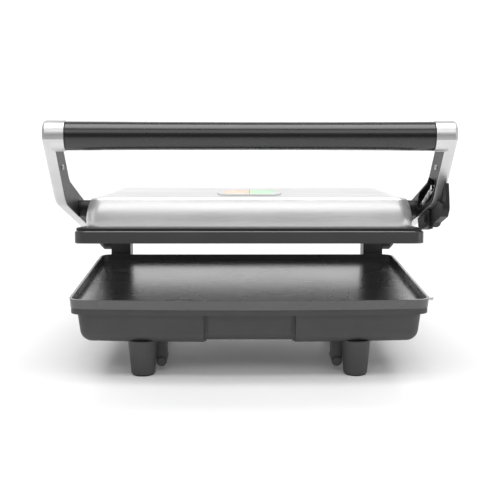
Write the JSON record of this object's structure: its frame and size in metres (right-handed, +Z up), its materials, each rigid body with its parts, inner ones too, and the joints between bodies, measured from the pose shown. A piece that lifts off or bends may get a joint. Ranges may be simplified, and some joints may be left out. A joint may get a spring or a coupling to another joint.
{
  "type": "panini press",
  "caption": "Contact grill press with a bowed tray plate below, a floating heated lid in cranked side arms, a full-width bar handle and a swinging height and lock lever.",
  "frame": {"origin": "middle of the bounding box, at the surface the press stands on, with the lid held open above the food", "axes": "+X to the right along the handle, +Y to the rear hinge, +Z up"},
  "size_m": [0.3451, 0.29, 0.229],
  "materials": {
    "black_plastic": "fine moulded texture",
    "nonstick_aluminium": "satin non-stick coating",
    "element_steel": "oxidised sheath",
    "reflector_steel": "mill finish sheet",
    "control_metal": "plain",
    "terminal_plastic": "plain",
    "screw_steel": "zinc plated",
    "pin_steel": "ground",
    "foot_rubber": "matte",
    "silver_metal": "brushed silver",
    "grip_black": "satin soft touch",
    "tube_steel": "drawn",
    "bush_nylon": "plain",
    "brushed_cover": "long brushed grain from side to side",
    "bezel_silver": "satin",
    "lens_red": "frosted",
    "lens_green": "frosted",
    "lamp_glass": "clear"
  },
  "bodies": {
    "base": {"lower_housing": "black_plastic", "lower_plate": "nonstick_aluminium", "lower_heating_element": "element_steel", "lower_reflector": "reflector_steel", "lower_thermostat": "control_metal", "thermal_fuse": "control_metal", "terminal_block": "terminal_plastic", "lower_plate_screws": "screw_steel", "foot_pads": "foot_rubber", "cord_cleat_left": "black_plastic", "cord_cleat_right": "black_plastic", "catch_peg": "pin_steel", "cord_gland": "black_plastic", "hinge_tower_left": "black_plastic", "hinge_tower_right": "black_plastic", "tower_screws": "screw_steel", "hinge_pin_left": "pin_steel", "hinge_pin_right": "pin_steel"},
    "arms": {"arm_left": "silver_metal", "arm_right": "silver_metal", "arm_cover_left": "black_plastic", "arm_cover_right": "black_plastic", "arm_cover_screws": "screw_steel", "arm_hub_left": "black_plastic", "arm_hub_right": "black_plastic", "lid_bush_left": "bush_nylon", "lid_bush_right": "bush_nylon", "handle_grip": "grip_black", "handle_tube": "tube_steel", "lever_bracket": "black_plastic", "lever_pin": "pin_steel", "lever_spring": "pin_steel", "spring_posts": "pin_steel"},
    "lever": {"height_lever": "black_plastic"},
    "lid": {"lid_cover": "brushed_cover", "lid_bezel": "black_plastic", "upper_plate": "nonstick_aluminium", "upper_plate_screws": "screw_steel", "upper_heating_element": "element_steel", "upper_reflector": "reflector_steel", "upper_thermostat": "control_metal", "indicator_bezel": "bezel_silver", "power_lens": "lens_red", "ready_lens": "lens_green", "lamp_holder": "black_plastic", "indicator_lamps": "lamp_glass", "lid_pivot_left": "black_plastic", "lid_pivot_right": "black_plastic"}
  },
  "joints": [
    {"name": "arm_hinge", "type": "hinge", "parent": "base", "child": "arms", "pos_m": [0, 0.1295, 0.09], "axis": [1, 0, 0], "range_deg": [-72, 16.59]},
    {"name": "lid_tilt", "type": "hinge", "parent": "arms", "child": "lid", "pos_m": [0, -0.0105, 0.139], "axis": [1, 0, 0], "range_deg": [-10, 42]},
    {"name": "height_lever_pivot", "type": "hinge", "parent": "arms", "child": "lever", "pos_m": [0.168, -0.0605, 0.136], "axis": [1, 0, 0], "range_deg": [0, 75]}
  ],
  "couplings": [
    {"joint": "lid_tilt", "follows": "arm_hinge", "ratio": -0.57793}
  ]
}
